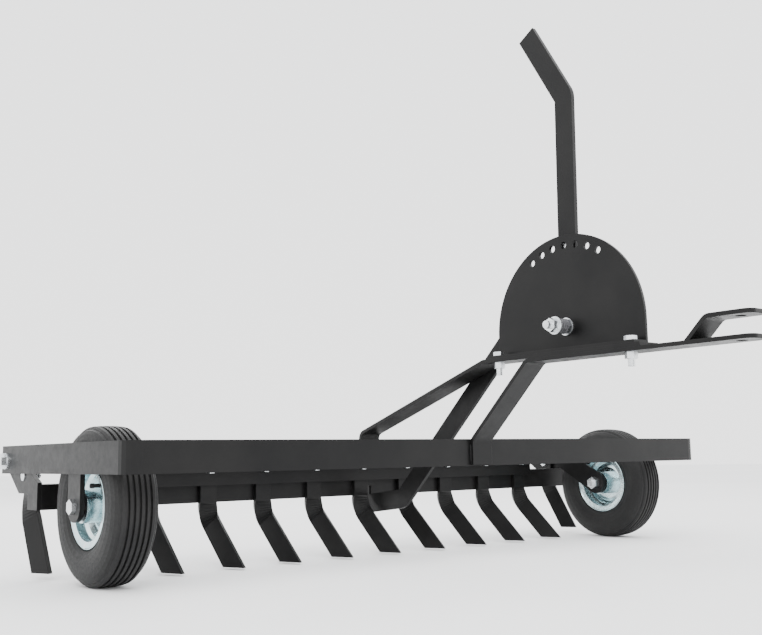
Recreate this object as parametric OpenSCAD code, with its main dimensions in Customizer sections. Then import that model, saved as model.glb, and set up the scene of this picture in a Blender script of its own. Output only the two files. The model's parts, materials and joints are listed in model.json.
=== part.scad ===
// Tow-behind tine rake: a wheeled frame with a lever-raised tine bar and a pin hitch.
// Millimetres. +Z is up, the hitch points to -Y, and the ground is z = 0 under the middle.

/* [Frame] */
// Overall width of the bent frame rail
frame_width = 1454; // [1160:1:1745]
// Length of the side arms behind the front face of the rail
side_arm_length = 545; // [530:1:655]
// Height of the top edge of the rail above the ground
rail_top = 236; // [225:1:290]
// Height of the rail strip
rail_height = 51; // [42:1:62]
// Thickness of the rail strip
rail_thick = 7; // [5.5:0.5:8.5]
// Radius of the rail's corners at mid thickness
rail_corner_radius = 30; // [20:1:45]
// Distance of the cross member behind the front of the rail
cross_member_setback = 347; // [340:1:349]
// Height of the cross member strip
cross_member_height = 45; // [36:1:54]
// Thickness of the cross member strip
cross_member_thick = 6; // [5:0.5:6.5]

/* [Tongue and hitch] */
// Distance from the front of the rail to the tip of the tongue
tongue_reach = 600; // [560:1:740]
// Width of the tongue straps
tongue_width = 51; // [44:1:61]
// Thickness of the tongue straps
tongue_thick = 7; // [5.5:0.5:8.5]
// Height of the underside of the lower tongue strap above the rail's top
tongue_rise = 135; // [108:1:162]
// Diameter of the hitch pin holes
hitch_pin_hole = 17.5; // [14:0.5:21]
// Gap between the tongue and the upper hitch lip
hitch_gap = 31; // [25:1:37]
// Distance of the hitch pin behind the tip of the tongue
hitch_pin_setback = 32; // [27:1:38]

/* [Depth sector and lever] */
// Outer radius of the depth sector
sector_radius = 168; // [164:1:200]
// Radius of the circle of index holes
index_radius = 149; // [144:1:151]
// Number of index holes
index_holes = 7; // [5:2:7]
// Angle between neighbouring index holes in degrees
index_step = 10.3; // [9:0.1:11]
// Diameter of the index holes
index_hole = 13; // [12:0.5:15]
// Thickness of the sector plate
sector_thick = 6; // [5:0.5:8]
// Height of the lever pivot above the sector's foot
pivot_rise = 46; // [38:1:55]
// Length of the lever above its pivot
lever_length = 577; // [480:1:690]
// Length of the cranked top of the lever
lever_crank = 171; // [137:1:205]
// Width of the lever bar
lever_width = 40; // [34:1:46]
// Thickness of the lever bar
lever_thick = 9; // [8:0.5:11]
// Width of the lift link bar
link_width = 40; // [34:1:44]
// Thickness of the lift link bar
link_thick = 8; // [6:0.5:10]

/* [Tine bar] */
// Number of tines between the wheels
tine_count = 9; // [5:2:9]
// Spacing of the tines
tine_pitch = 127; // [106:1:134]
// Width of a tine
tine_width = 36; // [30:1:43]
// Thickness of a tine
tine_thick = 10; // [8:0.5:12]
// Turn of each blade about its own length in degrees
tine_twist = 62; // [50:1:75]
// Height of the tine tips above the ground
tine_clearance = 4; // [3:0.5:8]
// Leg of the angle iron that carries the tines
angle_leg = 45; // [40:1:52]
// Thickness of the angle iron
angle_thick = 6; // [5:0.5:7]
// Height of the strip in front of the tines
clamp_strip_height = 50; // [42:1:60]

/* [Wheels] */
// Outer radius of the tyre
wheel_radius = 132; // [125:1:150]
// Width of the tyre
tyre_width = 80; // [67:1:84]
// Distance of the wheel's middle inside the frame's side
wheel_inset = 62; // [60:1:70]
// Distance of the axle behind the front of the rail
axle_setback = 215; // [205:1:220]
// Diameter of the axle bolts
axle_dia = 16; // [14:0.5:19]
// Outer radius of the rim's flange
rim_radius = 70; // [60:1:80]
// Width of the wheel straps
wheel_strap_width = 50; // [42:1:56]
// Thickness of the wheel straps
wheel_strap_thick = 8; // [6:0.5:9]

/* [Hidden] */
$fn = 64;

// Clearances
pin_clearance = 0.05;    // radial, of a shaft that turns in its hole
bolt_clearance = 0.5;    // radial, of a bolt that is clamped in its hole
body_gap = 0.6;          // between pieces that move past each other
cut_extra = 1;           // how far a cutter runs past the face it cuts
bend_steps = 6;          // straight steps in a bend
eye_extra = 0.8;         // how much wider a rounded end is than its strap

// Places on the frame
rail_front = (tongue_reach - side_arm_length) / 2;
rail_half = frame_width / 2;
rail_foot = rail_top - rail_height;
cross_foot = rail_top - 3 - cross_member_height;
function behind(distance) = rail_front + distance;

// Tongue
tongue_foot = rail_top + tongue_rise;
tongue_seat = tongue_foot + tongue_thick;
tongue_top = tongue_foot + 2 * tongue_thick;
tongue_knee = -150;                       // where the lower strap turns down
upper_strap_front = -400;
upper_strap_knee = -40;                   // where the upper strap turns down
strap_bend_radius = 16;
tongue_tip_radius = 15;
hitch_tip = behind(-tongue_reach);
hitch_y = hitch_tip + hitch_pin_setback;
hitch_lip_thick = 7;
hitch_lip_start = 112;                    // foot of the lip behind the tongue's tip
hitch_lip_knee = 77;

// Sector and lever
lever_pivot_y = behind(-221);
lever_pivot_z = tongue_top + pivot_rise;
sector_x = 8;                             // near face of the upright plate
sector_far = sector_x + sector_thick;
sector_foot_thick = 5;
sector_bolt_dia = 12;
sector_bolt_x = -11;
sector_bolt_reach = 151;                  // of each foot bolt from the pivot
lever_x = sector_far + body_gap;
lever_lean = 1.1;                         // degrees forward at rest
lever_crank_angle = 31;
index_offset = 0;                         // of the middle index hole, degrees back
link_x = max(lever_x + lever_thick, tongue_width / 2) + 1.5;
pivot_bolt_dia = 14;
spring_length = 28;
spring_wire = 4;
spring_radius = 12;
index_pin_dia = 10;
index_pin_rest = 0.6;                     // of the pin's tip behind the sector plate
index_pin_head = 5;
index_slot_travel = 14;                   // half length of the link's slot, across it
index_slot_half = 9.5;                    // half width of that slot, along the link

// Link, from the index pin to the lug on the tine bar
index_y = lever_pivot_y + index_radius * sin(index_offset);
index_z = lever_pivot_z + index_radius * cos(index_offset);
link_knee_y = behind(268);
link_eye_y = behind(410);
link_eye_z = rail_top - 137;
link_knee_z = link_eye_z + 16;
link_bolt_dia = 12;
lug_x = link_x + link_thick + body_gap;
lug_thick = 8;

// Tine bar and its pivot
bar_pivot_y = behind(520);
bar_pivot_z = rail_top - 28;
bar_pivot_dia = 16;
bar_washer_thick = 2;
bracket_x = rail_half - rail_thick - bar_washer_thick;
bracket_thick = 8;
angle_y = behind(384);
angle_top = rail_top - 70;
tine_root_z = angle_top - angle_leg;
tine_y = angle_y - tine_thick / 2;
clamp_thick = 6;
clamp_y = angle_y - tine_thick - clamp_thick;
clamp_top = rail_top - 32;
tine_bolt_dia = 10;
tine_bolt_z = rail_top - 50;
tine_reach = 105;                         // of a tip ahead of the tine's root
outer_tine_y = behind(455);
outer_tine_root = rail_top - 88;
outer_tine_top = rail_top - 34;
outer_tine_reach = 70;
outer_tine_lift = 8;                      // of the outer tips above the others
outer_tine_turn = 90 - tine_twist;

// Wheels
wheel_x = rail_half - wheel_inset;
axle_y = behind(axle_setback);
axle_z = wheel_radius;
outer_strap_x = rail_half - rail_thick - wheel_strap_thick;
hub_half = tyre_width / 2 + 2;
hub_radius = 27;
bearing_radius = 20;
inner_strap_x = wheel_x - hub_half - 4 - wheel_strap_thick;
rim_sheet = 2.5;

// ---- Helpers ----

function left_of(v) = [-v[1], v[0]];
function unit(v) = v / norm(v);
function turned(v, a) = [v[0] * cos(a) - v[1] * sin(a), v[0] * sin(a) + v[1] * cos(a)];
function turn_between(a, b) = atan2(a[0] * b[1] - a[1] * b[0], a * b);

// Points of a path, each with the normal to its left, its corners rounded to radius r
function corner_arc(before, corner, after, r) =
    let (d1 = unit(corner - before), d2 = unit(after - corner), a = turn_between(d1, d2),
         side = a < 0 ? -1 : 1,
         start = corner - d1 * r * tan(abs(a) / 2),
         centre = start + left_of(d1) * r * side)
    [for (k = [0:bend_steps])
        let (n = turned(left_of(d1), a * k / bend_steps)) [centre - n * r * side, n]];
function rounded_path(p, r) =
    let (last = len(p) - 1)
    [each [[p[0], left_of(unit(p[1] - p[0]))]],
     for (i = [1:1:last - 1]) each corner_arc(p[i - 1], p[i], p[i + 1], r),
     each [[p[last], left_of(unit(p[last] - p[last - 1]))]]];
function strip_outline(p, thick, r) =
    let (q = rounded_path(p, r), last = len(q) - 1)
    [for (i = [0:last]) q[i][0] + q[i][1] * thick / 2,
     for (i = [last:-1:0]) q[i][0] - q[i][1] * thick / 2];

// A flat strip bent along a path
module bent_strip(path, thick, r) {
    polygon(strip_outline(path, thick, r));
}

// Lifts a shape drawn in (y, z) into a plate that starts at x and is thick along +X
module side_plate(x, thick) {
    translate([x, 0, 0]) rotate([90, 0, 90]) linear_extrude(thick) children();
}

// A cylinder along +X from the point (x, y, z)
module x_rod(x, y, z, length, dia) {
    translate([x, y, z]) rotate([0, 90, 0]) cylinder(d = dia, h = length);
}

// A hexagon prism along +X; across is its width over flats
module x_hex(x, y, z, length, across) {
    translate([x, y, z]) rotate([0, 90, 0]) cylinder(d = across / cos(30), h = length, $fn = 6);
}

module z_hex(x, y, z, length, across) {
    translate([x, y, z]) cylinder(d = across / cos(30), h = length, $fn = 6);
}

function hex_across(dia) = 1.5 * dia + 1;
function head_height(dia) = 0.65 * dia;
function nut_height(dia) = 0.95 * dia;

// A nut along +X that starts at x, on a bolt of this diameter
module x_nut(x, y, z, dia) {
    difference() {
        x_hex(x, y, z, nut_height(dia), hex_across(dia));
        x_rod(x - cut_extra, y, z, nut_height(dia) + 2 * cut_extra, dia);
    }
}

module x_washer(x, y, z, thick, outer, inner) {
    difference() {
        x_rod(x, y, z, thick, outer);
        x_rod(x - cut_extra, y, z, thick + 2 * cut_extra, inner);
    }
}

// Draws a piece of the left side and its mirror image on the right
module both_sides() {
    children();
    mirror([1, 0, 0]) children();
}

// ---- Frame ----

// The rail is one strip bent into a U that is open at the back
module frame_rail() {
    mid = rail_half - rail_thick / 2;
    front = rail_front + rail_thick / 2;
    back = behind(side_arm_length);
    color("#1d1d1f")
    difference() {
        translate([0, 0, rail_foot]) linear_extrude(rail_height)
            bent_strip([[-mid, back], [-mid, front], [mid, front], [mid, back]],
                       rail_thick, rail_corner_radius);
        x_rod(-rail_half - cut_extra, bar_pivot_y, bar_pivot_z, frame_width + 2 * cut_extra,
              bar_pivot_dia);
    }
}

module cross_member() {
    inner = frame_width - 2 * rail_thick;
    color("#1d1d1f")
    translate([-inner / 2, behind(cross_member_setback), cross_foot])
        cube([inner, cross_member_thick, cross_member_height]);
}

// ---- Tongue and hitch ----

// Plan of the tongue's front end, with its two corners rounded
module tongue_plan(length) {
    linear_extrude(2 * tongue_seat) {
        for (side = [-1, 1])
            translate([side * (tongue_width / 2 - tongue_tip_radius),
                       hitch_tip + tongue_tip_radius])
                circle(tongue_tip_radius);
        translate([-tongue_width / 2 + tongue_tip_radius, hitch_tip])
            square([tongue_width - 2 * tongue_tip_radius, length]);
        translate([-tongue_width / 2, hitch_tip + tongue_tip_radius])
            square([tongue_width, length]);
    }
}

module hitch_hole() {
    translate([0, hitch_y, 0]) cylinder(d = hitch_pin_hole, h = 2 * tongue_seat);
}

// Bolt through the sector's foot and the straps under it
module sector_bolt_hole(y) {
    translate([sector_bolt_x, y, 0])
        cylinder(d = sector_bolt_dia + 2 * bolt_clearance, h = 2 * tongue_seat);
}

module sector_bolt_holes() {
    for (side = [-1, 1]) sector_bolt_hole(lever_pivot_y + side * sector_bolt_reach);
}

// Runs from the hitch to the rail and turns down its front face
module tongue_lower_strap() {
    mid = tongue_foot + tongue_thick / 2;
    face = rail_front - tongue_thick / 2;
    color("#222224")
    difference() {
        intersection() {
            side_plate(-tongue_width / 2, tongue_width)
                bent_strip([[hitch_tip, mid], [behind(tongue_knee), mid],
                            [face, rail_top - 3], [face, rail_foot + 2]],
                           tongue_thick, strap_bend_radius);
            tongue_plan(tongue_reach + 1);
        }
        hitch_hole();
        sector_bolt_hole(lever_pivot_y - sector_bolt_reach);
    }
}

// Lies on the lower strap and runs back and down to the cross member
module tongue_upper_strap() {
    mid = tongue_seat + tongue_thick / 2;
    face = behind(cross_member_setback) - tongue_thick / 2;
    color("#222224")
    difference() {
        side_plate(-tongue_width / 2, tongue_width)
            bent_strip([[behind(upper_strap_front), mid], [behind(upper_strap_knee), mid],
                        [face, rail_top + 19], [face, cross_foot + 2]],
                       tongue_thick, strap_bend_radius);
        sector_bolt_holes();
    }
}

// Upper lip of the hitch, welded to the lower strap at a slant
module hitch_lip() {
    lip = tongue_seat + hitch_gap + hitch_lip_thick / 2;
    below = tongue_seat - hitch_lip_thick;
    color("#222224")
    difference() {
        intersection() {
            side_plate(-tongue_width / 2, tongue_width)
                bent_strip([[hitch_tip + hitch_lip_start + hitch_lip_thick, below],
                            [hitch_tip + hitch_lip_knee, lip], [hitch_tip, lip]],
                           hitch_lip_thick, strap_bend_radius);
            tongue_plan(tongue_reach);
            translate([-tongue_width, hitch_tip - cut_extra, tongue_seat])
                cube([2 * tongue_width, tongue_reach, 2 * hitch_gap]);
        }
        hitch_hole();
    }
}

// ---- Depth sector ----

module depth_sector() {
    foot_near = -tongue_width / 2;
    color("#1f1f21")
    difference() {
        union() {
            side_plate(sector_x, sector_thick) {
                translate([lever_pivot_y, lever_pivot_z]) intersection() {
                    circle(sector_radius, $fn = 160);
                    translate([-sector_radius, 0]) square([2 * sector_radius, sector_radius]);
                }
                translate([lever_pivot_y - sector_radius, tongue_top])
                    square([2 * sector_radius, pivot_rise]);
            }
            translate([foot_near, lever_pivot_y - sector_radius, tongue_top])
                cube([sector_far - foot_near, 2 * sector_radius, sector_foot_thick]);
        }
        for (k = [0:index_holes - 1])
            let (a = index_offset + (k - (index_holes - 1) / 2) * index_step)
                x_rod(sector_x - cut_extra, lever_pivot_y + index_radius * sin(a),
                      lever_pivot_z + index_radius * cos(a), sector_thick + 2 * cut_extra,
                      index_hole);
        x_rod(sector_x - cut_extra, lever_pivot_y, lever_pivot_z,
              sector_thick + 2 * cut_extra, pivot_bolt_dia + 2 * bolt_clearance);
        sector_bolt_holes();
    }
}

// The front bolt also clamps the lower strap, so it is longer than the rear one
function sector_nut_top(side) = side < 0 ? tongue_foot : tongue_seat;

module sector_bolts() {
    head = tongue_top + sector_foot_thick;
    color("#b9bcbf")
    for (side = [-1, 1]) {
        y = lever_pivot_y + side * sector_bolt_reach;
        end = sector_nut_top(side) - 2 * sector_bolt_dia;
        z_hex(sector_bolt_x, y, head, head_height(sector_bolt_dia), hex_across(sector_bolt_dia));
        translate([sector_bolt_x, y, end]) cylinder(d = sector_bolt_dia, h = head - end);
    }
}

module sector_nuts() {
    color("#b9bcbf")
    for (side = [-1, 1]) {
        y = lever_pivot_y + side * sector_bolt_reach;
        high = nut_height(sector_bolt_dia);
        difference() {
            z_hex(sector_bolt_x, y, sector_nut_top(side) - high, high,
                  hex_across(sector_bolt_dia));
            translate([sector_bolt_x, y, sector_nut_top(side) - high - cut_extra])
                cylinder(d = sector_bolt_dia, h = high + 2 * cut_extra);
        }
    }
}

// ---- Lever pivot: bolt, spring, washers and nut on the near side of the sector ----

pivot_washer_thick = 2.5;
pivot_stack = spring_length + 2 * pivot_washer_thick;
pivot_nut_x = sector_x - pivot_stack - nut_height(pivot_bolt_dia);
lever_far = lever_x + lever_thick;

module lever_pivot_bolt() {
    end = pivot_nut_x - 10;
    head = lever_far + body_gap;
    color("#b9bcbf") {
        x_rod(end, lever_pivot_y, lever_pivot_z, head - end, pivot_bolt_dia);
        x_hex(head, lever_pivot_y, lever_pivot_z, head_height(pivot_bolt_dia),
              hex_across(pivot_bolt_dia));
    }
}

module lever_pivot_nut() {
    color("#b9bcbf")
    x_nut(pivot_nut_x, lever_pivot_y, lever_pivot_z, pivot_bolt_dia);
}

module lever_pivot_washers() {
    outer = 2 * (spring_radius + spring_wire);
    color("#8f9295")
    for (x = [sector_x - pivot_washer_thick, sector_x - pivot_stack])
        x_washer(x, lever_pivot_y, lever_pivot_z, pivot_washer_thick, outer,
                 pivot_bolt_dia + 2 * bolt_clearance);
}

// Compression spring: a wire of eight sides swept along a helix
spring_turns = 4.5;
spring_sides = 8;
spring_rings = 16 * spring_turns;

function spring_point(i, s) =
    let (turn = 360 * spring_turns * i / spring_rings, a = 360 * s / spring_sides,
         r = spring_radius + spring_wire / 2 * cos(a),
         rise = (spring_length - spring_wire - 2 * body_gap) * i / spring_rings)
    [rise + spring_wire / 2 * (1 + sin(a)), r * cos(turn), r * sin(turn)];

module lever_pivot_spring() {
    points = [for (i = [0:spring_rings], s = [0:spring_sides - 1]) spring_point(i, s)];
    walls = [for (i = [0:spring_rings - 1], s = [0:spring_sides - 1])
        let (t = (s + 1) % spring_sides, here = i * spring_sides, next = here + spring_sides)
        [here + s, here + t, next + t, next + s]];
    start = [for (s = [spring_sides - 1:-1:0]) s];
    finish = [for (s = [0:spring_sides - 1]) spring_rings * spring_sides + s];
    color("#3a3b3d")
    translate([sector_x - pivot_washer_thick - spring_length + body_gap, lever_pivot_y,
               lever_pivot_z])
        polyhedron(points, concat(walls, [start, finish]), convexity = 8);
}

// ---- Lever, index pin and lift link ----

lever_top = [lever_pivot_y + lever_crank * sin(lever_crank_angle),
             lever_pivot_z + lever_length];
lever_knee = [lever_pivot_y,
              lever_pivot_z + lever_length - lever_crank * cos(lever_crank_angle)];

module lever_bar() {
    color("#2b2c2a")
    difference() {
        union() {
            side_plate(lever_x, lever_thick)
                translate([lever_pivot_y, lever_pivot_z]) rotate(lever_lean)
                    translate([-lever_pivot_y, -lever_pivot_z])
                        bent_strip([[lever_pivot_y, lever_pivot_z], lever_knee, lever_top],
                                   lever_width, lever_width / 2 + 2);
            x_rod(lever_x, lever_pivot_y, lever_pivot_z, lever_thick, lever_width + eye_extra);
        }
        x_rod(lever_x - cut_extra, lever_pivot_y, lever_pivot_z, lever_thick + 2 * cut_extra,
              pivot_bolt_dia + 2 * pin_clearance);
        x_rod(lever_x - cut_extra, index_y, index_z, lever_thick + 2 * cut_extra,
              index_pin_dia + 2 * pin_clearance);
    }
}

// Slides along X: at rest its tip stands just behind the sector plate
module index_pin() {
    tip = sector_far + index_pin_rest - body_gap + 0.3;
    head = link_x + link_thick + index_pin_head + sector_thick + 2;
    color("#b9bcbf") {
        x_rod(tip, index_y, index_z, head - tip, index_pin_dia);
        x_hex(head, index_y, index_z, head_height(index_pin_dia), hex_across(index_pin_dia));
    }
}

module lift_link() {
    along = unit([link_knee_y - index_y, link_knee_z - index_z]);
    turn = atan2(along[1], along[0]);
    top = [index_y, index_z] - along * link_width / 2;
    color("#1b1b1d")
    difference() {
        union() {
            side_plate(link_x, link_thick)
                bent_strip([top, [link_knee_y, link_knee_z],
                            [link_eye_y, link_eye_z]], link_width, link_width / 2 + 4);
            x_rod(link_x, link_eye_y, link_eye_z, link_thick, link_width + eye_extra);
        }
        x_rod(link_x - cut_extra, link_eye_y, link_eye_z, link_thick + 2 * cut_extra,
              link_bolt_dia + 2 * pin_clearance);
        translate([link_x - cut_extra, index_y, index_z]) rotate([turn, 0, 0])
            translate([0, -index_slot_half, -index_slot_travel])
                cube([link_thick + 2 * cut_extra, 2 * index_slot_half, 2 * index_slot_travel]);
    }
}

module link_bolt() {
    head = link_x - head_height(link_bolt_dia) - body_gap;
    color("#b9bcbf") {
        x_hex(head, link_eye_y, link_eye_z, head_height(link_bolt_dia),
              hex_across(link_bolt_dia));
        x_rod(head, link_eye_y, link_eye_z,
              lug_x + lug_thick + nut_height(link_bolt_dia) + 3 - head, link_bolt_dia);
    }
}

module link_nut() {
    color("#b9bcbf")
    x_nut(lug_x + lug_thick, link_eye_y, link_eye_z, link_bolt_dia);
}

// ---- Tine bar ----

// The link passes under the upright leg through a notch
link_notch_side = 3;
link_notch_height = 20;

module tine_angle() {
    half = bracket_x - bracket_thick;
    notch = link_thick + 2 * link_notch_side;
    color("#1c1c1e")
    difference() {
        translate([-half, angle_y, 0]) {
            translate([0, 0, tine_root_z]) cube([2 * half, angle_thick, angle_leg]);
            translate([0, 0, angle_top - angle_thick]) cube([2 * half, angle_leg, angle_thick]);
        }
        translate([link_x - link_notch_side, angle_y - cut_extra, tine_root_z - cut_extra])
            cube([notch, angle_thick + 2 * cut_extra, link_notch_height + cut_extra]);
    }
}

module clamp_strip() {
    half = (tine_count - 1) / 2 * tine_pitch + tine_width;
    color("#1c1c1e")
    difference() {
        translate([-half, clamp_y, clamp_top - clamp_strip_height])
            cube([2 * half, clamp_thick, clamp_strip_height]);
        tine_bolt_holes();
    }
}

function tine_x(i) = (i - (tine_count + 1) / 2) * tine_pitch;

module tine_bolt_holes() {
    for (i = [1:tine_count])
        translate([tine_x(i), clamp_y - cut_extra, tine_bolt_z]) rotate([-90, 0, 0])
            cylinder(d = tine_bolt_dia + 2 * bolt_clearance,
                     h = tine_thick + clamp_thick + 2 * cut_extra);
}

// A tine is one strip swept down a line that leans forward while the strip turns about
// its own length. Each ring of four corners is square to the line; the tip is cut level.
blade_rings = 8;
blade_bend = 46;                          // length of the line that bends and turns

function blade_lean(drop, reach) = atan2(reach, drop - blade_bend / 2);
function blade_axis(lean) = [0, -sin(lean), -cos(lean)];
function blade_centre(k, lean) =
    k == 0 ? [0, 0, 0]
    : blade_centre(k - 1, lean)
      + blade_axis(lean * (k - 0.5) / blade_rings) * blade_bend / blade_rings;
function blade_corner(centre, lean, turn, i) =
    let (u = [1, 0, 0], v = [0, cos(lean), -sin(lean)],
         q = turned([[-1, -1], [1, -1], [1, 1], [-1, 1]][i][0] * [tine_width / 2, 0]
                    + [[-1, -1], [1, -1], [1, 1], [-1, 1]][i][1] * [0, tine_thick / 2], turn))
    centre + q[0] * u + q[1] * v;
function blade_tip(corner, lean, drop) =
    corner + blade_axis(lean) * (corner[2] + drop) / cos(lean);

// Corners of all rings, from the top of the flat part to the tip
function blade_points(rise, drop, reach, turn0, turn1) =
    let (lean = blade_lean(drop, reach), last = blade_centre(blade_rings, lean))
    [for (i = [0:3]) blade_corner([0, 0, rise], 0, turn0, i),
     for (k = [0:blade_rings], i = [0:3])
        blade_corner(blade_centre(k, lean), lean * k / blade_rings,
                     turn0 + (turn1 - turn0) * k / blade_rings, i),
     for (i = [0:3]) blade_tip(blade_corner(last, lean, turn1, i), lean, drop)];

module blade(rise, drop, reach, turn0, turn1) {
    rings = blade_rings + 2;
    walls = [for (k = [0:rings - 1], i = [0:3])
        let (a = 4 * k + i, b = 4 * k + (i + 1) % 4)
        each [[a, b, b + 4], [a, b + 4, a + 4]]];
    top = [[0, 2, 1], [0, 3, 2]];
    tip = [[4 * rings, 4 * rings + 1, 4 * rings + 2], [4 * rings, 4 * rings + 2, 4 * rings + 3]];
    polyhedron(blade_points(rise, drop, reach, turn0, turn1), concat(top, walls, tip),
               convexity = 4);
}

module main_tine(i) {
    drop = tine_root_z - tine_clearance;
    color("#232325")
    difference() {
        translate([tine_x(i), tine_y, tine_root_z])
            blade(clamp_top - tine_root_z, drop, tine_reach, 0, -tine_twist);
        tine_bolt_holes();
    }
}

// The outer tines stand behind the wheels, flat against the end brackets
outer_tine_x = bracket_x - bracket_thick - tine_thick / 2;
outer_tine_bolt_z = (outer_tine_top + outer_tine_root) / 2 + 6;

module outer_tine_bolt_hole() {
    x_rod(outer_tine_x - tine_thick, outer_tine_y, outer_tine_bolt_z,
          2 * tine_thick + 2 * bracket_thick, tine_bolt_dia + 2 * bolt_clearance);
}

module outer_tine(side) {
    drop = outer_tine_root - tine_clearance - outer_tine_lift;
    color("#232325")
    difference() {
        translate([side * outer_tine_x, outer_tine_y, outer_tine_root])
            blade(outer_tine_top - outer_tine_root, drop, outer_tine_reach, 90,
                  90 + outer_tine_turn);
        both_sides() outer_tine_bolt_hole();
    }
}

module tine_bolts() {
    front = clamp_y - head_height(tine_bolt_dia);
    outer = bracket_x;
    color("#b9bcbf") {
        for (i = [1:tine_count])
            translate([tine_x(i), front, tine_bolt_z]) rotate([-90, 0, 0]) {
                cylinder(d = hex_across(tine_bolt_dia) / cos(30),
                         h = head_height(tine_bolt_dia), $fn = 6);
                cylinder(d = tine_bolt_dia,
                         h = angle_y - front + nut_height(tine_bolt_dia) + 4);
            }
        both_sides() {
            x_rod(outer_tine_x - tine_thick / 2 - nut_height(tine_bolt_dia) - 3, outer_tine_y,
                  outer_tine_bolt_z,
                  bracket_thick + tine_thick + nut_height(tine_bolt_dia) + 3, tine_bolt_dia);
            x_rod(outer - 0.01, outer_tine_y, outer_tine_bolt_z, 2, 1.8 * tine_bolt_dia);
        }
    }
}

module tine_nuts() {
    color("#b9bcbf") {
        for (i = [1:tine_count])
            translate([tine_x(i), angle_y, tine_bolt_z]) rotate([-90, 0, 0]) difference() {
                cylinder(d = hex_across(tine_bolt_dia) / cos(30),
                         h = nut_height(tine_bolt_dia), $fn = 6);
                translate([0, 0, -cut_extra])
                    cylinder(d = tine_bolt_dia, h = nut_height(tine_bolt_dia) + 2 * cut_extra);
            }
        both_sides()
            x_nut(outer_tine_x - tine_thick / 2 - nut_height(tine_bolt_dia), outer_tine_y,
                  outer_tine_bolt_z, tine_bolt_dia);
    }
}

module end_bracket() {
    difference() {
        union() {
            side_plate(bracket_x - bracket_thick, bracket_thick)
                polygon([[angle_y, tine_root_z], [angle_y, angle_top + 3],
                         [bar_pivot_y - 12, bar_pivot_z + 21],
                         [bar_pivot_y + 20, bar_pivot_z - 14],
                         [outer_tine_y + tine_width / 2 + 4, outer_tine_root + 1],
                         [angle_y + angle_leg + 2, outer_tine_root + 1],
                         [angle_y + angle_leg + 2, tine_root_z]]);
            x_rod(bracket_x - bracket_thick, bar_pivot_y, bar_pivot_z, bracket_thick, 50);
        }
        x_rod(bracket_x - bracket_thick - cut_extra, bar_pivot_y, bar_pivot_z,
              bracket_thick + 2 * cut_extra, bar_pivot_dia + 2 * pin_clearance);
        outer_tine_bolt_hole();
    }
}

// Plate inside the angle iron that takes the link's bolt
module link_lug() {
    back = angle_y + angle_thick;
    color("#1c1c1e")
    difference() {
        union() {
            x_rod(lug_x, link_eye_y, link_eye_z, lug_thick, 32);
            side_plate(lug_x, lug_thick)
                polygon([[back, tine_root_z + 4], [back, angle_top - angle_thick],
                         [angle_y + angle_leg - 6, angle_top - angle_thick],
                         [link_eye_y + 14, link_eye_z + 3], [link_eye_y - 14, link_eye_z + 3]]);
        }
        x_rod(lug_x - cut_extra, link_eye_y, link_eye_z, lug_thick + 2 * cut_extra,
              link_bolt_dia);
    }
}

// ---- Tine bar pivots on the side arms ----

module tine_bar_pivot_bolts() {
    head = rail_half + 2 * bar_washer_thick;
    end = bracket_x - bracket_thick - body_gap - nut_height(bar_pivot_dia) - 4;
    color("#b9bcbf")
    both_sides() {
        x_rod(end, bar_pivot_y, bar_pivot_z, head - end, bar_pivot_dia);
        x_hex(head, bar_pivot_y, bar_pivot_z, head_height(bar_pivot_dia),
              hex_across(bar_pivot_dia));
    }
}

module tine_bar_pivot_nuts() {
    start = bracket_x - bracket_thick - body_gap - nut_height(bar_pivot_dia);
    color("#b9bcbf")
    both_sides() x_nut(start, bar_pivot_y, bar_pivot_z, bar_pivot_dia);
}

module tine_bar_pivot_washers() {
    color("#9b9ea1")
    both_sides() {
        x_washer(rail_half, bar_pivot_y, bar_pivot_z, 2 * bar_washer_thick, 30, bar_pivot_dia);
        x_washer(rail_half - rail_thick - bar_washer_thick + 0.3, bar_pivot_y, bar_pivot_z,
                 bar_washer_thick - 0.3, 30, bar_pivot_dia);
    }
}

// ---- Wheel straps and axles ----

module axle_hole(x) {
    x_rod(x - cut_extra, axle_y, axle_z, wheel_strap_thick + 2 * cut_extra, axle_dia);
}

// Straight down from the side arm to the outer end of the axle
module outer_wheel_straps() {
    color("#1d1d1f")
    both_sides() difference() {
        union() {
            x_rod(outer_strap_x, axle_y, axle_z, wheel_strap_thick,
                  wheel_strap_width + eye_extra);
            translate([outer_strap_x, axle_y - wheel_strap_width / 2, axle_z])
                cube([wheel_strap_thick, wheel_strap_width, rail_top - 6 - axle_z]);
        }
        axle_hole(outer_strap_x);
    }
}

// From the cross member forward and down to the inner end of the axle
module inner_wheel_strap() {
    back = behind(cross_member_setback);
    centre = cross_foot + cross_member_height / 2;
    difference() {
        union() {
            x_rod(inner_strap_x, axle_y, axle_z, wheel_strap_thick,
                  wheel_strap_width + eye_extra);
            side_plate(inner_strap_x, wheel_strap_thick) intersection() {
                bent_strip([[axle_y, axle_z], [2 * back - axle_y, 2 * centre - axle_z]],
                           wheel_strap_width, 1);
                translate([axle_y - wheel_strap_width, 0])
                    square([back - axle_y + wheel_strap_width, rail_top]);
            }
        }
        axle_hole(inner_strap_x);
    }
}

module axle_bolts() {
    head = outer_strap_x + wheel_strap_thick;
    end = inner_strap_x - nut_height(axle_dia) - 6;
    color("#a9acaf")
    both_sides() {
        x_rod(end, axle_y, axle_z, head - end, axle_dia);
        x_hex(head, axle_y, axle_z, head_height(axle_dia) - 2.5, hex_across(axle_dia) - 3);
    }
}

module axle_nuts() {
    color("#b9bcbf")
    both_sides() x_nut(inner_strap_x - nut_height(axle_dia), axle_y, axle_z, axle_dia);
}

// Black spacers between the straps and the bearings
module axle_spacers() {
    near = inner_strap_x + wheel_strap_thick;
    far = wheel_x + hub_half + body_gap / 2;
    color("#151515")
    both_sides() {
        x_washer(near, axle_y, axle_z, wheel_x - hub_half - body_gap / 2 - near, 32, axle_dia);
        x_washer(far, axle_y, axle_z, outer_strap_x - far, 32, axle_dia);
    }
}

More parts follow.
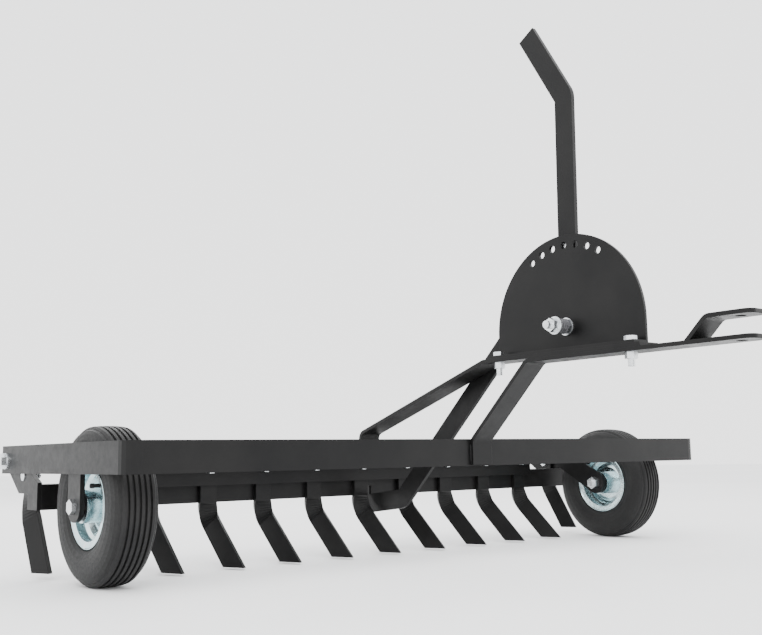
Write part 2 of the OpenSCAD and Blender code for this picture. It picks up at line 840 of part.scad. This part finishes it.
// ---- Wheels ----

// Turns a profile of (radius, distance along the axle) about the wheel's axle
module wheel_turn(x, side) {
    translate([x, axle_y, axle_z]) rotate([0, side * 90, 0])
        rotate_extrude($fn = 120) children();
}

sidewall_steps = 8;
rib_count = 6;
rib_groove = 3.2;
rib_depth = 4;
shoulder_radius = wheel_radius - 6;
bead_half = tyre_width * 0.36;
bead_radius = rim_radius - 10;

// Half section of the tyre's outside from the bead to the shoulder, by an ellipse's arc
function sidewall(side) =
    let (mid = (shoulder_radius + rim_radius + 0.5) / 2,
         tall = (shoulder_radius - rim_radius - 0.5) / 2, bulge = tyre_width / 2 - bead_half)
    [for (k = [0:sidewall_steps])
        let (a = -90 + 180 * k / sidewall_steps)
        [mid + tall * sin(a), side * (bead_half + bulge * cos(a))]];

function tread_radius(w) = wheel_radius - 3.2 * pow(w / (tyre_width / 2), 2);

// The tread's ribs from one shoulder to the other
function tread() =
    let (half = bead_half, step = 2 * half / rib_count)
    [for (k = [0:rib_count - 1])
        let (w0 = half - k * step - (k == 0 ? 0 : rib_groove / 2),
             w1 = half - (k + 1) * step + (k == rib_count - 1 ? 0 : rib_groove / 2))
        each [[tread_radius(w0) - (k == 0 ? 3 : rib_depth), w0],
              [tread_radius(w0), w0 - (k == 0 ? 3 : 0.6)],
              [tread_radius(w1), w1 + (k == rib_count - 1 ? 3 : 0.6)],
              [tread_radius(w1) - (k == rib_count - 1 ? 3 : rib_depth), w1]]];

function reversed(p) = [for (i = [len(p) - 1:-1:0]) p[i]];

module tyre(x) {
    wall = 7;
    inner = [[bead_radius, -bead_half], [bead_radius, -bead_half + wall],
             [shoulder_radius - wall, -bead_half + 3], [shoulder_radius - wall, bead_half - 3],
             [bead_radius, bead_half - wall], [bead_radius, bead_half]];
    wheel_turn(x, 1)
        polygon(concat(sidewall(1), tread(), reversed(sidewall(-1)), inner));
}

// One pressed dish: flange, bead seat, cone and a flat ring that meets the other half
module rim_half(x, side) {
    seat = bead_radius;
    edge = bead_half;
    wheel_turn(x, side)
        polygon([[hub_radius, 0], [46, 0], [seat - 6, 9], [seat, 14], [seat, edge],
                 [rim_radius - 1, edge + 1.5], [rim_radius, edge + 4],
                 [rim_radius - 1.5, edge + 4.5], [rim_radius - 3, edge + 3],
                 [seat - rim_sheet, edge + 2], [seat - rim_sheet, 15.5],
                 [seat - 8, 11.5], [46, rim_sheet], [38, rim_sheet + 2.5],
                 [hub_radius, rim_sheet + 2.5]]);
}

module hub(x) {
    color("#c3c6c9")
    difference() {
        x_rod(x - hub_half, axle_y, axle_z, 2 * hub_half, 2 * hub_radius);
        x_rod(x - hub_half - cut_extra, axle_y, axle_z, 2 * hub_half + 2 * cut_extra,
              2 * bearing_radius);
    }
}

module bearings(x) {
    length = 18;
    color("#55585b")
    for (start = [x - hub_half, x + hub_half - length])
        x_washer(start, axle_y, axle_z, length, 2 * bearing_radius,
                 axle_dia + 2 * pin_clearance);
}

module inner_half_of(side) {
    color("#c9d3d4") rim_half(side * wheel_x, -side);
}

module outer_half_of(side) {
    color("#c9d3d4") rim_half(side * wheel_x, side);
}

module tyre_of(side) {
    color("#1a1a1a") tyre(side * wheel_x);
}

frame_rail();
cross_member();
tongue_lower_strap();
tongue_upper_strap();
hitch_lip();
depth_sector();
sector_bolts();
sector_nuts();
lever_pivot_bolt();
lever_pivot_spring();
lever_pivot_washers();
lever_pivot_nut();
outer_wheel_straps();
color("#1d1d1f") mirror([1, 0, 0]) inner_wheel_strap();  // inner_wheel_strap_left
color("#1d1d1f") inner_wheel_strap();  // inner_wheel_strap_right
axle_bolts();
axle_nuts();
axle_spacers();
tine_bar_pivot_bolts();
tine_bar_pivot_nuts();
tine_bar_pivot_washers();
lever_bar();
index_pin();
lift_link();
link_bolt();
link_nut();
tine_angle();
clamp_strip();
color("#1c1c1e") mirror([1, 0, 0]) end_bracket();  // end_bracket_left
color("#1c1c1e") end_bracket();  // end_bracket_right
link_lug();
tine_bolts();
tine_nuts();
main_tine(1);  // tine_1
main_tine(2);  // tine_2
main_tine(3);  // tine_3
main_tine(4);  // tine_4
main_tine(5);  // tine_5
main_tine(6);  // tine_6
main_tine(7);  // tine_7
main_tine(8);  // tine_8
main_tine(9);  // tine_9
outer_tine(-1);  // tine_outer_left
outer_tine(1);  // tine_outer_right
tyre_of(-1);  // left_tyre
inner_half_of(-1);  // left_rim_inner_half
outer_half_of(-1);  // left_rim_outer_half
hub(-wheel_x);  // left_hub
bearings(-wheel_x);  // left_bearings
tyre_of(1);  // right_tyre
inner_half_of(1);  // right_rim_inner_half
outer_half_of(1);  // right_rim_outer_half
hub(wheel_x);  // right_hub
bearings(wheel_x);  // right_bearings
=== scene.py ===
import json
import math

import bpy
from mathutils import Matrix, Quaternion, Vector


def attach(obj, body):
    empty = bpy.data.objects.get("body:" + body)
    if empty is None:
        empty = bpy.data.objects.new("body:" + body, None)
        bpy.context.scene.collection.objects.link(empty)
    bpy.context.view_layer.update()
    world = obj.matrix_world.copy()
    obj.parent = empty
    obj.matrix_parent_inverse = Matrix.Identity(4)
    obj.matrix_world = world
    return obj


# Camera, in metres and degrees
CAMERA_PLACE = Vector((-1.3685, -1.3493, 0.2067))
CAMERA_FORWARD = Vector((0.62732, 0.76640, 0.13820))
CAMERA_ROLL = -0.93
CAMERA_LENS = 46.82

# Places in the frame that the added pieces are set from
WHEEL_X = 0.665
AXLE_Y = 0.2425
AXLE_Z = 0.132
RAIL_FRONT = 0.0275
TONGUE_HALF = 0.0255

# Weld beads
BEAD_RADIUS = 0.0022
BEAD_RING = 10
BEAD_STEPS = 3
TONGUE_BEAD_LOW = 0.190
TONGUE_BEAD_HIGH = 0.226
LIP_BEAD_HALF = 0.023
LIP_BEAD_Y = -0.4688
LIP_BEAD_Z = 0.3785

# Valve stems: how far outboard of the wheel's middle, and off its axle
STEM_OUT = 0.016
STEM_OFF = 0.034
STEM_RING = 16
STEM_SMOOTH_DEGREES = 40

SMOOTH_DEGREES = 24
NOISE_LOW = 0.3
NOISE_HIGH = 0.7
FLOOR_RADIUS = 14.0


# ---- Materials ----

def new_material(name):
    mat = bpy.data.materials.new(name)
    mat.use_nodes = True
    tree = mat.node_tree
    tree.nodes.clear()
    out = tree.nodes.new("ShaderNodeOutputMaterial")
    shader = tree.nodes.new("ShaderNodeBsdfPrincipled")
    tree.links.new(shader.outputs["BSDF"], out.inputs["Surface"])
    coords = tree.nodes.new("ShaderNodeTexCoord")
    return mat, tree, shader, coords


def noise(tree, coords, scale, detail=3.0, roughness=0.55):
    node = tree.nodes.new("ShaderNodeTexNoise")
    node.inputs["Scale"].default_value = scale
    node.inputs["Detail"].default_value = detail
    node.inputs["Roughness"].default_value = roughness
    tree.links.new(coords.outputs["Object"], node.inputs["Vector"])
    return node


def ramp(tree, source, stops):
    node = tree.nodes.new("ShaderNodeValToRGB")
    ends = node.color_ramp.elements
    while len(ends) < len(stops):
        ends.new(0.5)
    for end, (place, colour) in zip(ends, stops):
        end.position = place
        end.color = (*colour, 1.0)
    tree.links.new(source, node.inputs["Fac"])
    return node


def map_range(tree, source, low, high):
    node = tree.nodes.new("ShaderNodeMapRange")
    node.inputs["From Min"].default_value = NOISE_LOW
    node.inputs["From Max"].default_value = NOISE_HIGH
    node.inputs["To Min"].default_value = low
    node.inputs["To Max"].default_value = high
    tree.links.new(source, node.inputs["Value"])
    return node


def soft_edges(tree, shader, coords, radius, bump_scale, bump_height):
    """Rounds edges in the shading and adds a fine surface grain."""
    bevel = tree.nodes.new("ShaderNodeBevel")
    bevel.samples = 4
    bevel.inputs["Radius"].default_value = radius
    grain = noise(tree, coords, bump_scale, 2.0)
    bump = tree.nodes.new("ShaderNodeBump")
    bump.inputs["Strength"].default_value = 0.25
    bump.inputs["Distance"].default_value = bump_height
    tree.links.new(grain.outputs["Fac"], bump.inputs["Height"])
    tree.links.new(bevel.outputs["Normal"], bump.inputs["Normal"])
    tree.links.new(bump.outputs["Normal"], shader.inputs["Normal"])


def powder_coat():
    mat, tree, shader, coords = new_material("black powder coat")
    patches = noise(tree, coords, 9.0, 5.0)
    colour = ramp(tree, patches.outputs["Fac"],
                  [(0.32, (0.0035, 0.0035, 0.0038)), (0.68, (0.0075, 0.0073, 0.0072))])
    dust = noise(tree, coords, 60.0, 4.0, 0.7)
    rough = map_range(tree, dust.outputs["Fac"], 0.30, 0.44)
    tree.links.new(colour.outputs["Color"], shader.inputs["Base Color"])
    tree.links.new(rough.outputs["Result"], shader.inputs["Roughness"])
    shader.inputs["Specular IOR Level"].default_value = 0.16
    soft_edges(tree, shader, coords, 0.0011, 900.0, 0.0002)
    return mat


def zinc(name, dark, light, low, high, scale):
    mat, tree, shader, coords = new_material(name)
    cloud = noise(tree, coords, scale, 4.0, 0.6)
    colour = ramp(tree, cloud.outputs["Fac"], [(0.3, dark), (0.7, light)])
    fine = noise(tree, coords, scale * 9.0, 3.0)
    rough = map_range(tree, fine.outputs["Fac"], low, high)
    shader.inputs["Metallic"].default_value = 1.0
    tree.links.new(colour.outputs["Color"], shader.inputs["Base Color"])
    tree.links.new(rough.outputs["Result"], shader.inputs["Roughness"])
    soft_edges(tree, shader, coords, 0.0006, 1400.0, 0.0001)
    return mat


def tyre_rubber():
    mat, tree, shader, coords = new_material("tyre rubber")
    patches = noise(tree, coords, 14.0, 5.0, 0.65)
    colour = ramp(tree, patches.outputs["Fac"],
                  [(0.3, (0.0055, 0.0055, 0.006)), (0.7, (0.012, 0.0118, 0.0115))])
    fine = noise(tree, coords, 220.0, 3.0)
    rough = map_range(tree, fine.outputs["Fac"], 0.50, 0.66)
    shader.inputs["Specular IOR Level"].default_value = 0.25
    tree.links.new(colour.outputs["Color"], shader.inputs["Base Color"])
    tree.links.new(rough.outputs["Result"], shader.inputs["Roughness"])
    soft_edges(tree, shader, coords, 0.0009, 700.0, 0.0003)
    return mat


def dark_metal(name, metallic, low, high):
    mat, tree, shader, coords = new_material(name)
    patches = noise(tree, coords, 80.0, 4.0)
    colour = ramp(tree, patches.outputs["Fac"], [(0.3, low), (0.7, high)])
    rough = map_range(tree, patches.outputs["Fac"], 0.35, 0.55)
    shader.inputs["Metallic"].default_value = metallic
    tree.links.new(colour.outputs["Color"], shader.inputs["Base Color"])
    tree.links.new(rough.outputs["Result"], shader.inputs["Roughness"])
    soft_edges(tree, shader, coords, 0.0005, 1100.0, 0.0001)
    return mat


def floor_white():
    mat, tree, shader, coords = new_material("studio floor")
    cloud = noise(tree, coords, 0.6, 2.0)
    colour = ramp(tree, cloud.outputs["Fac"],
                  [(0.3, (0.90, 0.90, 0.90)), (0.7, (0.94, 0.94, 0.94))])
    rough = map_range(tree, cloud.outputs["Fac"], 0.75, 0.9)
    tree.links.new(colour.outputs["Color"], shader.inputs["Base Color"])
    tree.links.new(rough.outputs["Result"], shader.inputs["Roughness"])
    return mat


def paint(obj, mat):
    obj.data.materials.clear()
    obj.data.materials.append(mat)


def smooth_round(obj, angle):
    for face in obj.data.polygons:
        face.use_smooth = True
    obj.data.set_sharp_from_angle(angle=math.radians(angle))


# ---- Added pieces ----

def new_object(name, data, mat):
    obj = bpy.data.objects.new(name, data)
    bpy.context.scene.collection.objects.link(obj)
    paint(obj, mat)
    return obj


def weld_bead(name, start, end, radius, mat):
    """A row of overlapping ripples from start to end, as a weld leaves."""
    start = Vector(start)
    end = Vector(end)
    along = (end - start).normalized()
    count = max(3, int((end - start).length / (radius * 0.8)))
    side = along.orthogonal().normalized()
    other = along.cross(side)
    verts = []
    faces = []
    ring = BEAD_RING
    steps = count * BEAD_STEPS
    for i in range(steps + 1):
        t = i / steps
        swell = 0.82 + 0.18 * abs(math.sin(math.pi * t * count))
        taper = min(1.0, 4 * t + 0.25, 4 * (1 - t) + 0.25)
        r = radius * swell * taper
        for k in range(ring):
            a = 2 * math.pi * k / ring
            verts.append(start.lerp(end, t) + (side * math.cos(a) + other * math.sin(a)) * r)
    for i in range(steps):
        for k in range(ring):
            a = i * ring + k
            b = i * ring + (k + 1) % ring
            faces.append((a, b, b + ring, a + ring))
    faces.append(tuple(reversed(range(ring))))
    faces.append(tuple(range(steps * ring, (steps + 1) * ring)))
    mesh = bpy.data.meshes.new(name)
    mesh.from_pydata([tuple(v) for v in verts], [], faces)
    obj = new_object(name, mesh, mat)
    for face in mesh.polygons:
        face.use_smooth = True
    return obj


def valve_stem(name, side, mat):
    """A short rubber stem on the outboard side of a wheel."""
    profile = [(0.0, 0.0046), (0.004, 0.0044), (0.012, 0.0034), (0.019, 0.0032),
               (0.0195, 0.0041), (0.025, 0.0041), (0.026, 0.0034)]
    ring = STEM_RING
    place = Vector((side * (WHEEL_X + STEM_OUT), AXLE_Y - STEM_OFF, AXLE_Z + STEM_OFF))
    out = Vector((side, 0.0, 0.0))
    verts = []
    faces = []
    for along, radius in profile:
        for k in range(ring):
            a = 2 * math.pi * k / ring
            verts.append(place + out * along
                         + Vector((0.0, math.cos(a), math.sin(a))) * radius)
    for i in range(len(profile) - 1):
        for k in range(ring):
            a = i * ring + k
            b = i * ring + (k + 1) % ring
            faces.append((a, b, b + ring, a + ring))
    faces.append(tuple(reversed(range(ring))))
    faces.append(tuple(range((len(profile) - 1) * ring, len(profile) * ring)))
    mesh = bpy.data.meshes.new(name)
    mesh.from_pydata([tuple(v) for v in verts], [], faces)
    obj = new_object(name, mesh, mat)
    smooth_round(obj, STEM_SMOOTH_DEGREES)
    return obj


# ---- Studio ----

def area_light(name, place, aim, size, power):
    light = bpy.data.lights.new(name, "AREA")
    light.shape = "RECTANGLE"
    light.size = size[0]
    light.size_y = size[1]
    light.energy = power
    obj = bpy.data.objects.new(name, light)
    bpy.context.scene.collection.objects.link(obj)
    obj.location = place
    obj.rotation_euler = (Vector(aim) - Vector(place)).to_track_quat("-Z", "Y").to_euler()
    return obj


def studio():
    world = bpy.data.worlds.new("studio")
    bpy.context.scene.world = world
    world.use_nodes = True
    tree = world.node_tree
    tree.nodes.clear()
    out = tree.nodes.new("ShaderNodeOutputWorld")
    background = tree.nodes.new("ShaderNodeBackground")
    coords = tree.nodes.new("ShaderNodeTexCoord")
    split = tree.nodes.new("ShaderNodeSeparateXYZ")
    tree.links.new(coords.outputs["Generated"], split.inputs["Vector"])
    height = tree.nodes.new("ShaderNodeMapRange")
    height.inputs["From Min"].default_value = -0.2
    height.inputs["From Max"].default_value = 0.9
    tree.links.new(split.outputs["Z"], height.inputs["Value"])
    sky = ramp(tree, height.outputs["Result"],
               [(0.0, (1.0, 1.0, 1.0)), (1.0, (0.94, 0.95, 0.96))])
    tree.links.new(sky.outputs["Color"], background.inputs["Color"])
    background.inputs["Strength"].default_value = 2.6
    tree.links.new(background.outputs["Background"], out.inputs["Surface"])

    bpy.ops.mesh.primitive_circle_add(vertices=96, radius=FLOOR_RADIUS, fill_type="NGON")
    floor = bpy.context.object
    floor.name = "studio_floor"
    paint(floor, floor_white())
    area_light("key", (-2.4, -2.6, 3.0), (0.0, 0.1, 0.2), (2.4, 1.6), 90.0)
    area_light("fill", (2.8, -1.6, 1.8), (0.1, 0.0, 0.3), (1.6, 1.6), 22.0)
    area_light("back", (0.6, 3.2, 2.4), (0.0, 0.1, 0.2), (3.0, 1.2), 45.0)


def camera():
    data = bpy.data.cameras.new("camera")
    data.lens = CAMERA_LENS
    obj = bpy.data.objects.new("camera", data)
    bpy.context.scene.collection.objects.link(obj)
    turn = CAMERA_FORWARD.to_track_quat("-Z", "Y")
    roll = Quaternion((0.0, 0.0, 1.0), math.radians(CAMERA_ROLL))
    obj.matrix_world = Matrix.Translation(CAMERA_PLACE) @ (turn @ roll).to_matrix().to_4x4()
    bpy.context.scene.camera = obj


# ---- Build ----

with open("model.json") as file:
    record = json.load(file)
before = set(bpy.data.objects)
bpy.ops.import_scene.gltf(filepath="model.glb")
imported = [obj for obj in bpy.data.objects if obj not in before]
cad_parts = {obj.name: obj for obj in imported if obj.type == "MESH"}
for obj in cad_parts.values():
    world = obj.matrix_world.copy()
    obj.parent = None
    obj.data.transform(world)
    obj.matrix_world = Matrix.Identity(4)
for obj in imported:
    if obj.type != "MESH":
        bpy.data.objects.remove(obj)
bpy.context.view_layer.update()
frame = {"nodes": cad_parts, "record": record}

paints = {
    "black_powder_coat": powder_coat(),
    "zinc_fastener": zinc("zinc fastener", (0.56, 0.58, 0.60), (0.80, 0.82, 0.83),
                          0.22, 0.36, 60.0),
    "zinc_rim": zinc("zinc rim", (0.44, 0.57, 0.60), (0.72, 0.84, 0.86), 0.17, 0.29, 26.0),
    "dark_steel": dark_metal("dark steel", 1.0, (0.13, 0.13, 0.14), (0.24, 0.24, 0.25)),
    "black_spacer": dark_metal("black spacer", 0.0, (0.012, 0.012, 0.012),
                               (0.024, 0.024, 0.024)),
    "tyre_rubber": tyre_rubber(),
}
slots = {entry["node"]: entry["material_slot"] for entry in frame["record"]["subparts"]}
for node, obj in frame["nodes"].items():
    paint(obj, paints[slots[node]])
    smooth_round(obj, SMOOTH_DEGREES)

coat = paints["black_powder_coat"]
bead_y = RAIL_FRONT - 0.001
beads = [
    ("weld_tongue_front_left", (-TONGUE_HALF, bead_y, TONGUE_BEAD_LOW),
     (-TONGUE_HALF, bead_y, TONGUE_BEAD_HIGH)),
    ("weld_tongue_front_right", (TONGUE_HALF, bead_y, TONGUE_BEAD_LOW),
     (TONGUE_HALF, bead_y, TONGUE_BEAD_HIGH)),
    ("weld_hitch_lip_front", (-LIP_BEAD_HALF, LIP_BEAD_Y, LIP_BEAD_Z),
     (LIP_BEAD_HALF, LIP_BEAD_Y, LIP_BEAD_Z)),
]
for name, start, end in beads:
    bead = weld_bead(name, start, end, BEAD_RADIUS, coat)
    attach(bead, "frame")

for side, body in ((-1, "left_wheel"), (1, "right_wheel")):
    stem = valve_stem(body + "_valve_stem", side, paints["tyre_rubber"])
    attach(stem, body)

studio()
camera()
